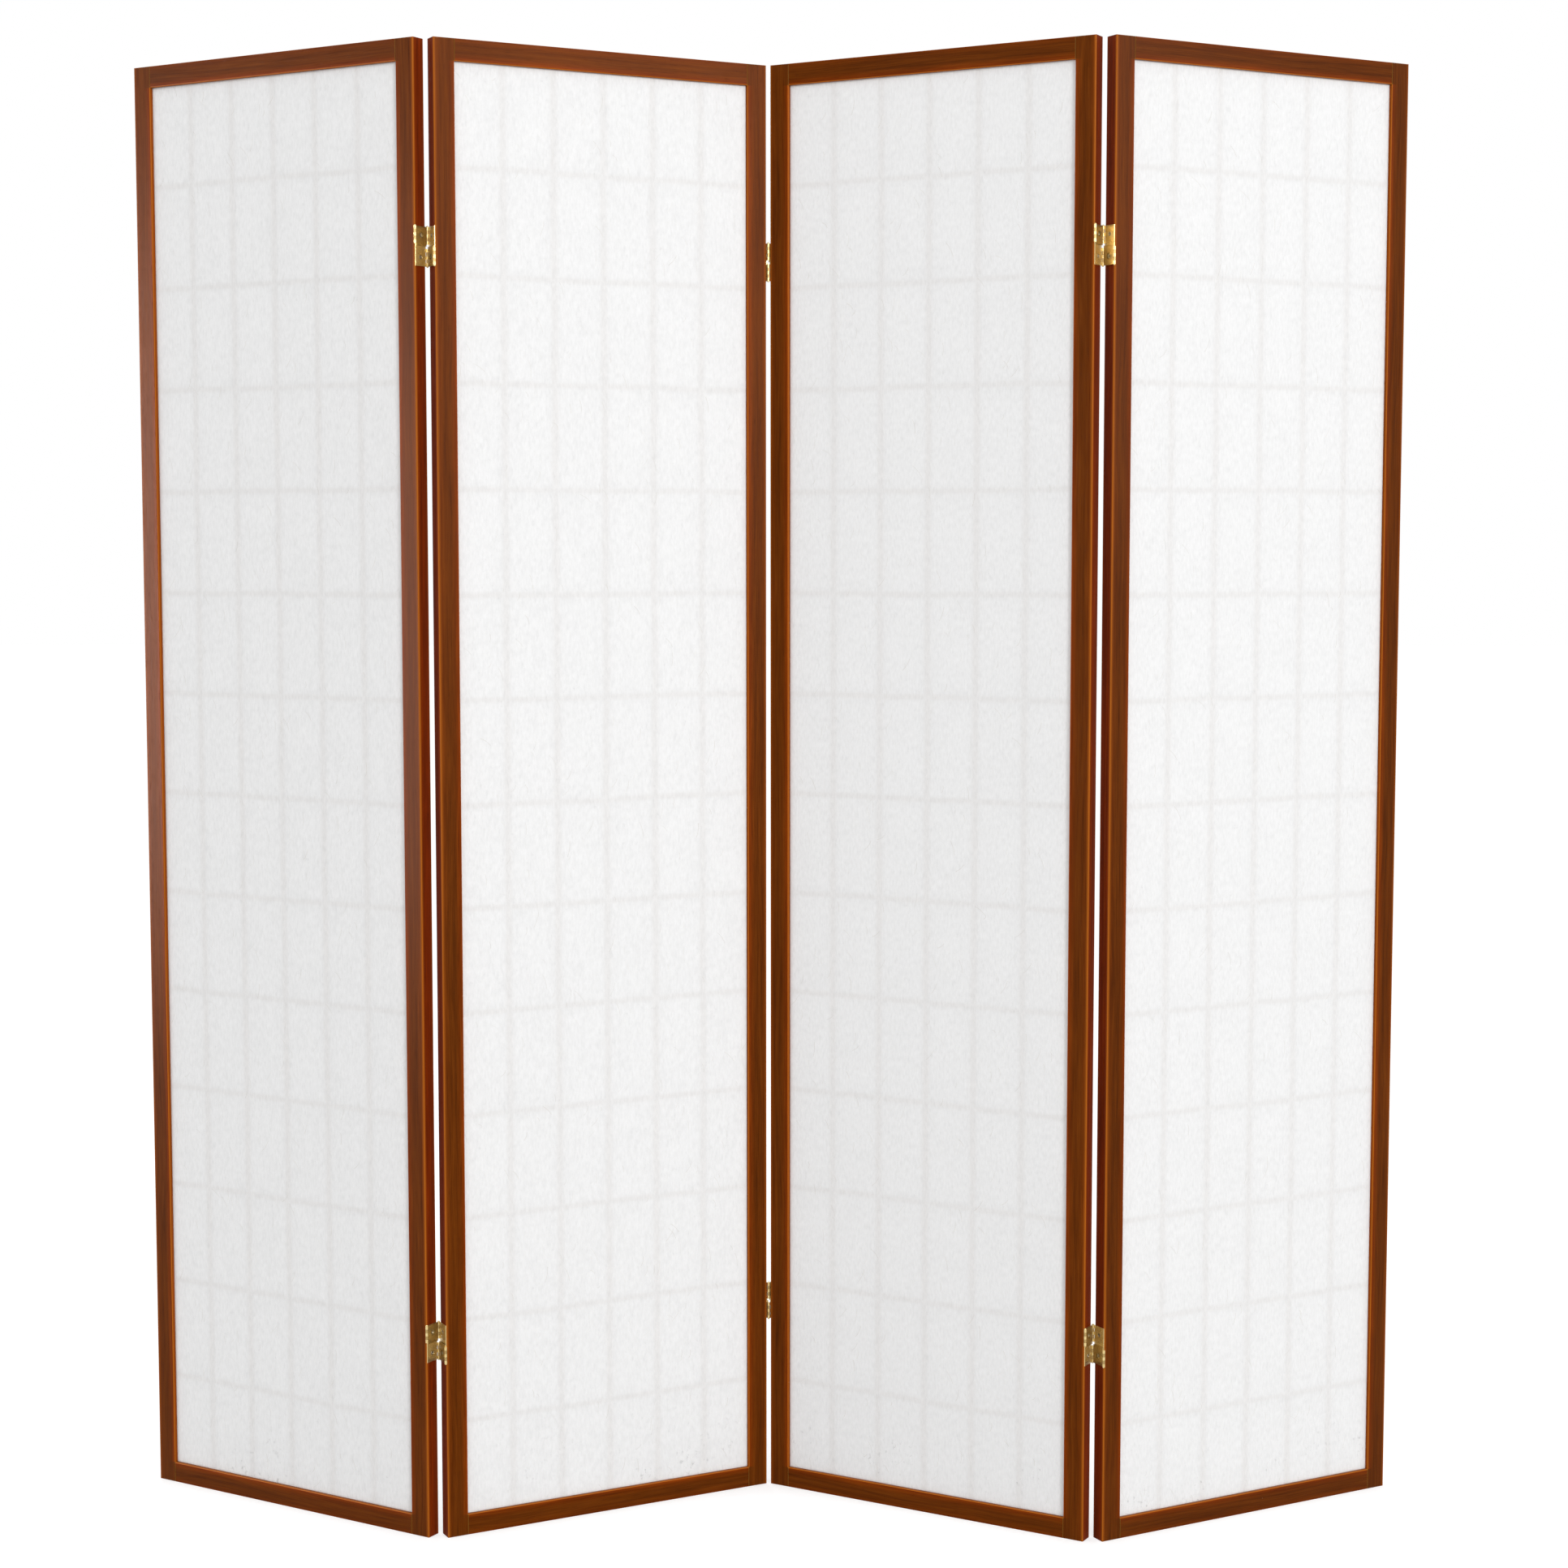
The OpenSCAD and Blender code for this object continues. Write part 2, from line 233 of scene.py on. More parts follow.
# stained wood, its grain along each member and its eased edges paler, part wear and part painted highlight
wood = {
    "shades": [(0.28, colour(68, 28, 0)), (0.5, colour(95, 44, 3)), (0.72, colour(117, 58, 8))],
    "panelShadeLevel": (1.0, 1.0, 1.0, 0.9),  # the stain's level on each panel, the last one lowered as painted shade against the sheen and light it catches
    # how fast each part of the figure changes across, through and along a member
    "flame": (230, 230, 6.5),
    "fine": (1000, 1000, 22),
    "fineShare": 0.4,
    "pores": (1900, 1900, 70),
    "poreSpan": (0.60, 0.72),
    "poreShade": 0.72,
    "tone": (14, 14, 1.6),
    "toneRange": (0.94, 1.06),
    "wander": (10, 10, 4.5),
    "wanderBy": 0.012,
    "panelShift": 3.7,
    "railShift": 1.9,
    # from an eased edge to a flat face, in how squarely it faces one way
    "flatSide": (0.8, 0.97),
    "flatFront": (0.7, 0.95),
    "easedTurn": (0.02, 0.15),
    "sideBounceTint": (1.55, 0.78, 0.05, 1.0),
    "sideRough": 0.7,
    "wornAndLitEdge": colour(186, 104, 30),
    "easedShare": 0.85,
    "wornAndLitShare": 0.55,
    "wornAndLitReach": 0.004,
    "rimHighlightTint": (2.0, 1.3, 0.5, 1.0),
    "rimReach": 0.011,
    "outerRim": 0.4,
    "lipPaintedLight": 0.35,
    "lipReach": 0.002,
    "jointLine": colour(118, 88, 34),
    "jointTurn": (0.15, 0.35),
    "jointInset": 0.012,
    "rough": (0.29, 0.41),
    "poreDeep": 0.6,
    "figureDeep": 0.5,
    "relief": (0.25, 0.0002),
    "sheen": 0.1,
    "sheenTint": (1.0, 0.42, 0.28, 1.0),
}


# the grain follows a member's length and wanders a little, and no two panels share a figure
def woodGrain(tree, number, lying, x, y, z):
    across, along = (z, x) if lying else (x, z)
    along = calc(tree, "ADD", along, wood["panelShift"] * number + (wood["railShift"] if lying else 0))
    wander = noise(tree, combine(tree, across, y, along), wood["wander"], 1)
    wander = calc(tree, "SUBTRACT", wander, 0.5)
    across = calc(tree, "MULTIPLY_ADD", wander, wood["wanderBy"], across)
    grain = combine(tree, across, y, along)
    flame = noise(tree, grain, wood["flame"], 3, 0.55)
    fine = noise(tree, grain, wood["fine"], 2)
    pores = remap(tree, noise(tree, grain, wood["pores"], 1), *wood["poreSpan"])
    tone = noise(tree, grain, wood["tone"], 1)
    flame = calc(tree, "MULTIPLY", flame, 1 - wood["fineShare"])
    figure = calc(tree, "MULTIPLY_ADD", fine, wood["fineShare"], flame)
    return figure, fine, pores, tone


def stainedWood(number, lying):
    kind = "lying" if lying else "upright"
    material, tree, shader = newMaterial(f"stainedWood_{kind}_{number}")
    place = panels[number]
    spot = add(tree, "ShaderNodeTexCoord").outputs
    inputs = {"Vector": spot["Object"], "Location": place["corner"], "Rotation": (0, 0, place["heading"])}
    x, y, z = split(tree, add(tree, "ShaderNodeMapping", inputs, vector_type="TEXTURE").outputs[0])
    figure, fine, pores, tone = woodGrain(tree, number, lying, x, y, z)
    stain = ramp(tree, figure, wood["shades"])
    depth = calc(tree, "MULTIPLY", fromNoise(tree, tone, *wood["toneRange"]), wood["panelShadeLevel"][number - 1])
    depth = calc(tree, "MULTIPLY", depth, remap(tree, pores, 0, 1, 1.0, wood["poreShade"]))
    stain = tinted(tree, stain, combine(tree, depth, depth, depth))

    # how squarely a face looks sideways, to the front or back, and up or down
    inputs = {"Vector": spot["Normal"], "Angle": -place["heading"]}
    facing = add(tree, "ShaderNodeVectorRotate", inputs, rotation_type="Z_AXIS").outputs[0]
    facing = add(tree, "ShaderNodeVectorMath", {0: facing}, operation="ABSOLUTE").outputs[0]
    sideways, frontal, upward = split(tree, facing)
    side = remap(tree, sideways, *wood["flatSide"])
    # side faces painted redder and deeper: painted light, standing in for warm light bounced between the
    # wood's faces
    stain = mixColour(tree, side, stain, tinted(tree, stain, wood["sideBounceTint"]))
    flattest = calc(tree, "MAXIMUM", calc(tree, "MAXIMUM", sideways, frontal), upward)
    eased = remap(tree, calc(tree, "SUBTRACT", 1.0, flattest), *wood["easedTurn"])
    eased = calc(tree, "MULTIPLY", eased, wood["easedShare"])

    # how far in from the panel's outer faces, and how far from the opening's edge
    def gap(value, mark):
        return calc(tree, "ABSOLUTE", calc(tree, "SUBTRACT", value, mark))

    def within(value, full):
        return calc(tree, "SUBTRACT", full / 2, gap(value, full / 2))

    inX, inY, inZ = [within(value, full) for value, full in zip((x, y, z), place["size"])]
    foot, head = localBox(number, "bottom_rail")[1].z, localBox(number, "top_rail")[0].z
    if lying:
        outer, inward = inZ, upward
        opening = calc(tree, "MINIMUM", gap(z, foot), gap(z, head))
        joint = remap(tree, sideways, *wood["jointTurn"])
    else:
        outer, inward = inX, sideways
        opening = gap(inX, localBox(number, "left_stile")[1].x)
        beside = calc(tree, "MAXIMUM", calc(tree, "LESS_THAN", z, foot), calc(tree, "GREATER_THAN", z, head))
        joint = calc(tree, "MULTIPLY", beside, calc(tree, "GREATER_THAN", inX, wood["jointInset"]))

    # painted highlight along a member's edges, warmer and brighter, and painted light on the lip that the
    # paper lies behind, lifting the shade there
    inner, rim = [calc(tree, "POWER", remap(tree, value, 0.0, wood["rimReach"], 1.0, 0.0), 2.0)
                  for value in (opening, outer)]
    if not lying:
        inner = calc(tree, "MULTIPLY", inner, calc(tree, "SUBTRACT", 1.0, beside))  # none beside the rails
    rim = calc(tree, "MAXIMUM", inner, calc(tree, "MULTIPLY", rim, wood["outerRim"]))
    rim = calc(tree, "MULTIPLY", rim, remap(tree, frontal, *wood["flatFront"]))
    stain = mixColour(tree, rim, stain, tinted(tree, stain, wood["rimHighlightTint"]))
    # painted light on the shaded lip beside the opening, in the edges' colour
    paintedLipLight = remap(tree, opening, 0.0, wood["lipReach"], wood["lipPaintedLight"], 0.0)
    paintedLipLight = calc(tree, "MULTIPLY", paintedLipLight, remap(tree, inward, *wood["flatSide"]))
    stain = mixColour(tree, paintedLipLight, stain, wood["wornAndLitEdge"])
    # the eased and outer edges paler a little way onto the faces: part wear from hands, part painted
    # highlight
    reach = calc(tree, "MAXIMUM", inX, inY)
    wornAndLit = remap(tree, reach, 0.0, wood["wornAndLitReach"], wood["wornAndLitShare"], 0.0, True)
    stain = mixColour(tree, calc(tree, "MAXIMUM", eased, wornAndLit), stain, wood["wornAndLitEdge"])
    # the fine lines where rail meets stile are dull instead
    stain = mixColour(tree, calc(tree, "MULTIPLY", joint, eased), stain, wood["jointLine"])

    rough = fromNoise(tree, fine, *wood["rough"])
    rough = calc(tree, "MULTIPLY_ADD", calc(tree, "SUBTRACT", wood["sideRough"], rough), side, rough)
    height = calc(tree, "MULTIPLY", figure, wood["figureDeep"])
    height = calc(tree, "MULTIPLY_ADD", pores, -wood["poreDeep"], height)
    feed(tree, shader, {
        "Base Color": stain, "Roughness": rough, "Normal": relief(tree, height, *wood["relief"]),
        "Specular IOR Level": wood["sheen"], "Specular Tint": wood["sheenTint"],
    })
    return material


def dress(node, material):
    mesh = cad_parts[node].data
    mesh.materials.clear()
    mesh.materials.append(material)


for number in panelNumbers:
    upright, lying = stainedWood(number, False), stainedWood(number, True)
    for part in ("left_stile", "right_stile", "upright_bars"):
        dress(f"panel_{number}_{part}", upright)
    for part in ("top_rail", "bottom_rail", "cross_bars"):
        dress(f"panel_{number}_{part}", lying)
print("wood: stiles, rails and lattice stained")


# the washi: white, fibres lying mostly upright, with painted shade of the lattice behind as faint bands
# tinted by its wood
washi = {
    "white": colour(248, 248, 248),
    "barShadeTint": colour(150, 110, 60),
    "columnShade": 0.059,
    "rowShade": 0.053,
    "bandReach": (0.012, 0.0095),  # columns, then rows
    "bandWaver": (0.003, 0.005),
    "bandFade": [(0, 1), (0.2, 0.92), (0.36, 0.5), (0.55, 0.14), (0.95, 0)],
    "bandClouds": (0.85, 1.15),
    "drift": (11, 11, 1),
    "streaks": (400, 130, 1),
    "streakRange": (0.951, 1.037),
    "clouds": (30, 22, 1),
    "cloudRange": (-0.008, 0.008),
    "specks": (260, 170, 1),
    "speckSpan": (0.70, 0.80),
    "speckShade": 0.05,
    "marks": (300, 85, 1),
    "markSpan": (0.58, 0.74),
    "markShade": 0.03,
    "scuffs": (210, 170, 1),
    "scuffSpan": (0.62, 0.74),
    "patches": (16, 20, 1),
    "patchSpan": (0.53, 0.62),
    "scuffHeight": (0.03, 0.15),
    "scuffShade": 0.2,
    "sheetShift": 5.3,
    "rough": 0.9,
    "sheen": 0.05,
    "relief": (0.2, 0.00015),
    "throughLight": 0.1,
}


# the lattice's bars, the same in each panel
def barPlaces(part, axis, between=0.02):
    bars = middles(localPoints(1, part), axis, between)
    return bars[0], (bars[-1] - bars[0]) / (len(bars) - 1)


firstColumn, columnPitch = barPlaces("upright_bars", 0)
firstRow, rowPitch = barPlaces("cross_bars", 2)


# one where a bar's middle lies behind, fading to nothing at the band's reach
def band(tree, value, waver, first, pitch, reach):
    away = calc(tree, "SUBTRACT", calc(tree, "ADD", value, waver), first)
    away = calc(tree, "PINGPONG", away, pitch / 2)
    fade = [(at, (v, v, v, 1.0)) for at, v in washi["bandFade"]]
    return ramp(tree, calc(tree, "DIVIDE", away, reach), fade)


def washiPaper():
    material, tree, shader = newMaterial("washiPaper")
    across, up, _ = split(tree, add(tree, "ShaderNodeUVMap", uv_map="sheetUv").outputs[0])
    number = add(tree, "ShaderNodeAttribute", attribute_name="sheetNumber").outputs["Fac"]
    spot = combine(tree, across, up, calc(tree, "MULTIPLY", number, washi["sheetShift"]))
    drift = calc(tree, "SUBTRACT", noise(tree, spot, washi["drift"], 2), 0.5)
    waver = [calc(tree, "MULTIPLY", drift, size) for size in washi["bandWaver"]]
    column = band(tree, across, waver[0], firstColumn, columnPitch, washi["bandReach"][0])
    row = band(tree, up, waver[1], firstRow, rowPitch, washi["bandReach"][1])
    column = calc(tree, "MULTIPLY", column, washi["columnShade"])
    row = calc(tree, "MULTIPLY", row, washi["rowShade"])
    clouds = noise(tree, spot, washi["clouds"], 2)
    # painted shade where the bars lie behind the paper, their wood colour partly showing through
    paintedBarShade = calc(tree, "MAXIMUM", column, row)
    paintedBarShade = calc(tree, "MULTIPLY", paintedBarShade, fromNoise(tree, clouds, *washi["bandClouds"]))

    streaks = noise(tree, spot, washi["streaks"], 3, 0.6)
    specks = remap(tree, noise(tree, spot, washi["specks"], 1), *washi["speckSpan"])
    marks = remap(tree, noise(tree, spot, washi["marks"], 1), *washi["markSpan"])
    level = calc(tree, "ADD", fromNoise(tree, streaks, *washi["streakRange"]),
                 fromNoise(tree, clouds, *washi["cloudRange"]))
    level = calc(tree, "MULTIPLY_ADD", specks, -washi["speckShade"], level)
    level = calc(tree, "MULTIPLY_ADD", marks, -washi["markShade"], level)
    # a few small scuffs low down, in patches
    low = remap(tree, up, *washi["scuffHeight"], washi["scuffShade"], 0.0, True)
    patches = remap(tree, noise(tree, spot, washi["patches"], 1), *washi["patchSpan"])
    scuffs = remap(tree, noise(tree, spot, washi["scuffs"], 2), *washi["scuffSpan"])
    scuffs = calc(tree, "MULTIPLY", calc(tree, "MULTIPLY", patches, scuffs), low)
    level = calc(tree, "SUBTRACT", level, scuffs)
    white = tinted(tree, washi["white"], combine(tree, level, level, level))
    white = mixColour(tree, paintedBarShade, white, washi["barShadeTint"])
    feed(tree, shader, {
        "Base Color": white, "Roughness": washi["rough"], "Specular IOR Level": washi["sheen"],
        "Normal": relief(tree, streaks, *washi["relief"]),
    })
    through = add(tree, "ShaderNodeBsdfTranslucent", {"Color": white}).outputs[0]
    both = add(tree, "ShaderNodeMixShader", {0: washi["throughLight"], 1: shader.outputs[0], 2: through})
    feed(tree, tree.nodes["Material Output"], {"Surface": both.outputs[0]})
    return material


# a sheet glued to the bars, a little and unevenly fuller in each space between them
sheetForm = {"thick": 0.00035, "bulge": 0.00022, "cells": (72, 300),
             "uneven": (16, 9, 1), "unevenRange": (0.35, 1.0), "sheetShift": 2.3}


def sheetTree():
    tree, given = newTree("washiSheet", {
        "Width": "Float", "Height": "Float", "Cells across": "Int", "Cells up": "Int",
        "Left": "Float", "Foot": "Float", "First column": "Float", "Column pitch": "Float",
        "First row": "Float", "Row pitch": "Float", "Bulge": "Float", "Number": "Float",
        "Place": "Vector", "Turn": "Vector", "Material": "Material",
    })
    inputs = {"Size X": given["Width"], "Size Y": given["Height"],
              "Vertices X": given["Cells across"], "Vertices Y": given["Cells up"]}
    grid = add(tree, "GeometryNodeMeshGrid", inputs).outputs[0]
    x, y, _ = split(tree, add(tree, "GeometryNodeInputPosition").outputs[0])
    across = calc(tree, "ADD", calc(tree, "MULTIPLY_ADD", given["Width"], 0.5, x), given["Left"])
    up = calc(tree, "ADD", calc(tree, "MULTIPLY_ADD", given["Height"], 0.5, y), given["Foot"])

    def swell(value, first, pitch):
        turn = calc(tree, "DIVIDE", calc(tree, "SUBTRACT", value, given[first]), given[pitch])
        return calc(tree, "POWER", calc(tree, "SINE", calc(tree, "MULTIPLY", turn, math.pi)), 2.0)

    spot = combine(tree, across, up, calc(tree, "MULTIPLY", given["Number"], sheetForm["sheetShift"]))
    uneven = fromNoise(tree, noise(tree, spot, sheetForm["uneven"], 1), *sheetForm["unevenRange"])
    fuller = calc(tree, "MULTIPLY", swell(across, "First column", "Column pitch"),
                  swell(up, "First row", "Row pitch"))
    raised = calc(tree, "MULTIPLY", calc(tree, "MULTIPLY", fuller, uneven), given["Bulge"])
    inputs = {"Geometry": grid, "Name": "sheetUv", "Value": combine(tree, across, up)}
    marked = store(tree, inputs, "FLOAT2", "CORNER")
    inputs = {"Geometry": marked, "Name": "sheetNumber", "Value": given["Number"]}
    marked = store(tree, inputs, "FLOAT", "POINT")
    inputs = {"Geometry": marked, "Offset": combine(tree, z=raised)}
    raisedGrid = add(tree, "GeometryNodeSetPosition", inputs).outputs[0]
    smooth = add(tree, "GeometryNodeSetShadeSmooth", {"Geometry": raisedGrid}).outputs[0]
    inputs = {"Geometry": smooth, "Translation": given["Place"], "Rotation": given["Turn"]}
    standing = add(tree, "GeometryNodeTransform", inputs).outputs[0]
    closeTree(tree, standing, given["Material"])
    return tree


paperFinish = washiPaper()
paperTree = sheetTree()
sheets = {}
for number in panelNumbers:
    low, high = localBox(number, "paper")
    front = high.y - sheetForm["thick"]  # its back lies on the bars
    place = panels[number]["toWorld"] @ Vector(((low.x + high.x) / 2, front, (low.z + high.z) / 2))
    sheets[number] = grow(f"washi_sheet_{number}", paperTree, {
        "Width": high.x - low.x, "Height": high.z - low.z,
        "Cells across": sheetForm["cells"][0], "Cells up": sheetForm["cells"][1],
        "Left": low.x, "Foot": low.z, "First column": firstColumn, "Column pitch": columnPitch,
        "First row": firstRow, "Row pitch": rowPitch, "Bulge": sheetForm["bulge"], "Number": float(number),
        "Place": place, "Turn": (math.pi / 2, 0, panels[number]["heading"]), "Material": paperFinish,
    }, thickness=sheetForm["thick"])
    sheets[number]["flat"] = (high.x - low.x, high.z - low.z)
print("washi: four sheets over the lattice")


# long fibres in the washi's face, a few of them darker
fibre = {
    "perArea": 1500.0, "length": 0.013, "lengths": (0.35, 1.5), "width": 0.00028, "bend": 0.0022, "steps": 5,
    "spread": 0.55, "proud": 0.00003, "rough": 0.8, "sheen": 0.2,
    "shades": [(0.35, colour(250, 250, 248)), (1.0, colour(214, 210, 202))],
    "seeds": {"sheet": 20, "length": 3, "lean": (5, 7), "tone": 11},
}


def fibreFinish():
    material, tree, shader = newMaterial("washiFibre")
    tone = add(tree, "ShaderNodeAttribute", attribute_name="fibreTone").outputs["Fac"]
    shade = ramp(tree, tone, fibre["shades"])
    feed(tree, shader, {
        "Base Color": shade, "Roughness": fibre["rough"], "Specular IOR Level": fibre["sheen"],
    })
    return material


def fibreTree():
    tree, given = newTree("washiFibres", {
        "Sheet": "Object", "Per area": "Float", "Length": "Float", "Width": "Float", "Bend": "Float",
        "Spread": "Float", "Proud": "Float", "Seed": "Int", "Material": "Material",
    })
    sheet = add(tree, "GeometryNodeObjectInfo", {"Object": given["Sheet"]}).outputs["Geometry"]
    inputs = {"Mesh": sheet, "Density": given["Per area"], "Seed": given["Seed"]}
    scatter = add(tree, "GeometryNodeDistributePointsOnFaces", inputs).outputs

    # one fibre: a flat ribbon along a slight bow
    ends = [combine(tree, y=calc(tree, "MULTIPLY", given["Length"], sign)) for sign in (-0.5, 0.5)]
    sides = [combine(tree, x=calc(tree, "MULTIPLY", given["Width"], sign)) for sign in (-0.5, 0.5)]
    bow = combine(tree, x=given["Bend"])
    inputs = {"Resolution": fibre["steps"], "Start": ends[0], "Middle": bow, "End": ends[1]}
    hair = add(tree, "GeometryNodeCurveQuadraticBezier", inputs).outputs[0]
    flatEnd = add(tree, "GeometryNodeCurvePrimitiveLine", {"Start": sides[0], "End": sides[1]}).outputs[0]
    ribbon = add(tree, "GeometryNodeCurveToMesh", {"Curve": hair, "Profile Curve": flatEnd}).outputs[0]

    # laid flat, mostly upright, each of its own length, lean and tone
    seeds = fibre["seeds"]
    outward = align(tree, {"Vector": scatter["Normal"]}, "Z")
    upward = align(tree, {"Rotation": outward, "Vector": (0, 0, 1)}, "Y", pivot_axis="Z")
    size = combine(tree, 1.0, chance(tree, *fibre["lengths"], seeds["length"]), 1.0)
    inputs = {"Points": scatter["Points"], "Instance": ribbon, "Rotation": upward, "Scale": size}
    placed = add(tree, "GeometryNodeInstanceOnPoints", inputs).outputs[0]
    back = calc(tree, "MULTIPLY", given["Spread"], -1.0)
    lean = calc(tree, "ADD", *[chance(tree, back, given["Spread"], seed) for seed in seeds["lean"]])
    inputs = {"Instances": placed, "Rotation": combine(tree, z=lean)}
    swung = add(tree, "GeometryNodeRotateInstances", inputs).outputs[0]
    inputs = {"Instances": swung, "Translation": combine(tree, z=given["Proud"])}
    lifted = add(tree, "GeometryNodeTranslateInstances", inputs).outputs[0]
    inputs = {"Geometry": lifted, "Name": "fibreTone", "Value": chance(tree, 0.0, 1.0, seeds["tone"])}
    closeTree(tree, store(tree, inputs, "FLOAT", "INSTANCE"), given["Material"])
    return tree


hairTree, hairFinish = fibreTree(), fibreFinish()
for number in panelNumbers:
    sheet = sheets[number]
    fibres = grow(f"washi_fibres_{number}", hairTree, {
        "Sheet": sheet, "Per area": fibre["perArea"], "Length": fibre["length"], "Width": fibre["width"],
        "Bend": fibre["bend"], "Spread": fibre["spread"], "Proud": fibre["proud"],
        "Seed": fibre["seeds"]["sheet"] + number, "Material": hairFinish,
    })
    body = f"panel_{number}"
    for piece in (sheet, fibres):
        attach(piece, body)
    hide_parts(f"{body}_paper")
    print("washi: sheet %d has %d fibre faces" % (number, len(fibres.data.polygons)))


# satin brass of the hinges under a thin lacquer, a little dulled
brass = {
    "leaf": (colour(203, 176, 116), colour(221, 199, 142)),  # dull, then bright
    # the link plates are a darker copy: painted shade for their knuckles catching less light than the leaves'
    "link": (colour(156, 127, 74), colour(175, 147, 90)),
    "patches": (120, 120, 120),
    "patchRough": (0.36, 0.24),
    "brushed": (60, 60, 2600),
    "brushRough": (-0.04, 0.06),
    "relief": (0.06, 0.0001),
    "metal": 0.85,
    "lacquer": 0.35,
    "lacquerRough": 0.12,
}


def satinBrass(part):
    material, tree, shader = newMaterial(f"satinBrass_{part}")
    spot = add(tree, "ShaderNodeTexCoord").outputs["Object"]
    patches = noise(tree, spot, brass["patches"], 3, 0.6)
    brushed = noise(tree, spot, brass["brushed"], 2)
    rough = calc(tree, "ADD", fromNoise(tree, patches, *brass["patchRough"]),
                 fromNoise(tree, brushed, *brass["brushRough"]))
    feed(tree, shader, {
        "Base Color": ramp(tree, patches, list(zip(noiseSpan, brass[part]))), "Roughness": rough,
        "Normal": relief(tree, brushed, *brass["relief"]), "Metallic": brass["metal"],
        "Coat Weight": brass["lacquer"], "Coat Roughness": brass["lacquerRough"],
    })
    return material


leafBrass, shadedLinkBrass = satinBrass("leaf"), satinBrass("link")
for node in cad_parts:
    if node.startswith("hinge_") or node.endswith("_hinge_pins"):
        dress(node, shadedLinkBrass if node.endswith("_plate") else leafBrass)
print("hinges: brass leaves, plates and pins")


# countersunk cross-head screws with their threads in the stiles
screw = {
    "head": 0.0054, "rim": 0.00015, "shank": 0.0026, "long": 0.013, "tip": 0.005, "point": 0.0006,
    "sides": 36, "cross": 0.0032, "arm": 0.0009, "crossDepth": 0.0007, "crossFloor": 0.6,
    "turns": 6.0, "ridge": 0.0003, "ridgeSides": 3, "threadSteps": 16,
    "between": 0.01,  # points closer than this up the edge are of one screw
    "seed": 40,
    "shades": (colour(128, 116, 98), colour(186, 176, 160)),  # dull, then bright
    "marks": (500, 500, 500),
    "rough": (0.42, 0.26),
}


def screwSteel():
    material, tree, shader = newMaterial("screwSteel")
    marks = noise(tree, add(tree, "ShaderNodeTexCoord").outputs["Object"], screw["marks"], 3, 0.6)
    feed(tree, shader, {
        "Base Color": ramp(tree, marks, list(zip(noiseSpan, screw["shades"]))),
        "Roughness": fromNoise(tree, marks, *screw["rough"]), "Metallic": 1.0,
    })
    return material


# one screw down from its head's face, with the cross pressed into it
def screwBlank():
    mesh = bmesh.new()
    head, shank = screw["head"] / 2, screw["shank"] / 2
    profile = [(head - screw["rim"], 0), (head, -screw["rim"]), (shank, shank - head),
               (shank, screw["tip"] - screw["long"]), (screw["point"] / 2, -screw["long"])]
    turns = [2 * math.pi * i / screw["sides"] for i in range(screw["sides"])]
    rings = [[mesh.verts.new((r * math.cos(a), r * math.sin(a), z)) for a in turns] for r, z in profile]
    for upper, lower in zip(rings, rings[1:]):
        for i in range(len(turns)):
            mesh.faces.new((upper[i - 1], upper[i], lower[i], lower[i - 1]))
    mesh.faces.new(rings[-1])
    reach, half = screw["cross"] / 2, screw["arm"] / 2
    corner = [(reach, -half), (reach, half), (half, half)]
    quarters = ((1, 0), (0, 1), (-1, 0), (0, -1))
    outline = [(x * c - y * s, x * s + y * c) for c, s in quarters for x, y in corner]
    inset = screw["crossFloor"]
    mouth = [mesh.verts.new((x, y, 0)) for x, y in outline]
    floor = [mesh.verts.new((x * inset, y * inset, -screw["crossDepth"])) for x, y in outline]
    for i in range(len(outline)):
        mesh.faces.new((mouth[i - 1], mouth[i], floor[i], floor[i - 1]))
    mesh.faces.new(floor)
    loops = [mesh.edges.get((loop[i - 1], loop[i])) for loop in (rings[0], mouth) for i in range(len(loop))]
    bmesh.ops.triangle_fill(mesh, use_beauty=True, edges=loops)
    bmesh.ops.recalc_face_normals(mesh, faces=mesh.faces)
    plain = bpy.data.meshes.new("screwBlank")
    mesh.to_mesh(plain)
    mesh.free()
    return plain


def screwTree():
    tree, given = newTree("hingeScrews", {
        "Seats": "Geometry", "Blank": "Object", "Thread radius": "Float", "Thread length": "Float",
        "Thread start": "Float", "Turns": "Float", "Ridge": "Float", "Seed": "Int", "Material": "Material",
    })
    blank = add(tree, "GeometryNodeObjectInfo", {"Object": given["Blank"]}).outputs["Geometry"]
    spiral = add(tree, "GeometryNodeCurveSpiral", {
        "Resolution": screw["threadSteps"], "Rotations": given["Turns"], "Height": given["Thread length"],
        "Start Radius": given["Thread radius"], "End Radius": given["Thread radius"]}).outputs[0]
    inputs = {"Resolution": screw["ridgeSides"], "Radius": given["Ridge"]}
    ridge = add(tree, "GeometryNodeCurvePrimitiveCircle", inputs).outputs[0]
    inputs = {"Curve": spiral, "Profile Curve": ridge, "Fill Caps": True}
    thread = add(tree, "GeometryNodeCurveToMesh", inputs).outputs[0]
    inputs = {"Geometry": thread, "Translation": combine(tree, z=given["Thread start"])}
    thread = add(tree, "GeometryNodeTransform", inputs).outputs[0]
    whole = add(tree, "GeometryNodeJoinGeometry")
    for part in (blank, thread):
        tree.links.new(part, whole.inputs[0])
    aim = add(tree, "GeometryNodeInputNamedAttribute", {"Name": "aim"}, data_type="FLOAT_VECTOR").outputs[0]
    facing = align(tree, {"Vector": aim}, "Z")
    inputs = {"Points": given["Seats"], "Instance": whole.outputs[0], "Rotation": facing}
    placed = add(tree, "GeometryNodeInstanceOnPoints", inputs).outputs[0]
    inputs = {"Instances": placed, "Rotation": combine(tree, z=chance(tree, 0.0, math.pi, given["Seed"]))}
    driven = add(tree, "GeometryNodeRotateInstances", inputs).outputs[0]
    closeTree(tree, driven, given["Material"])
    return tree


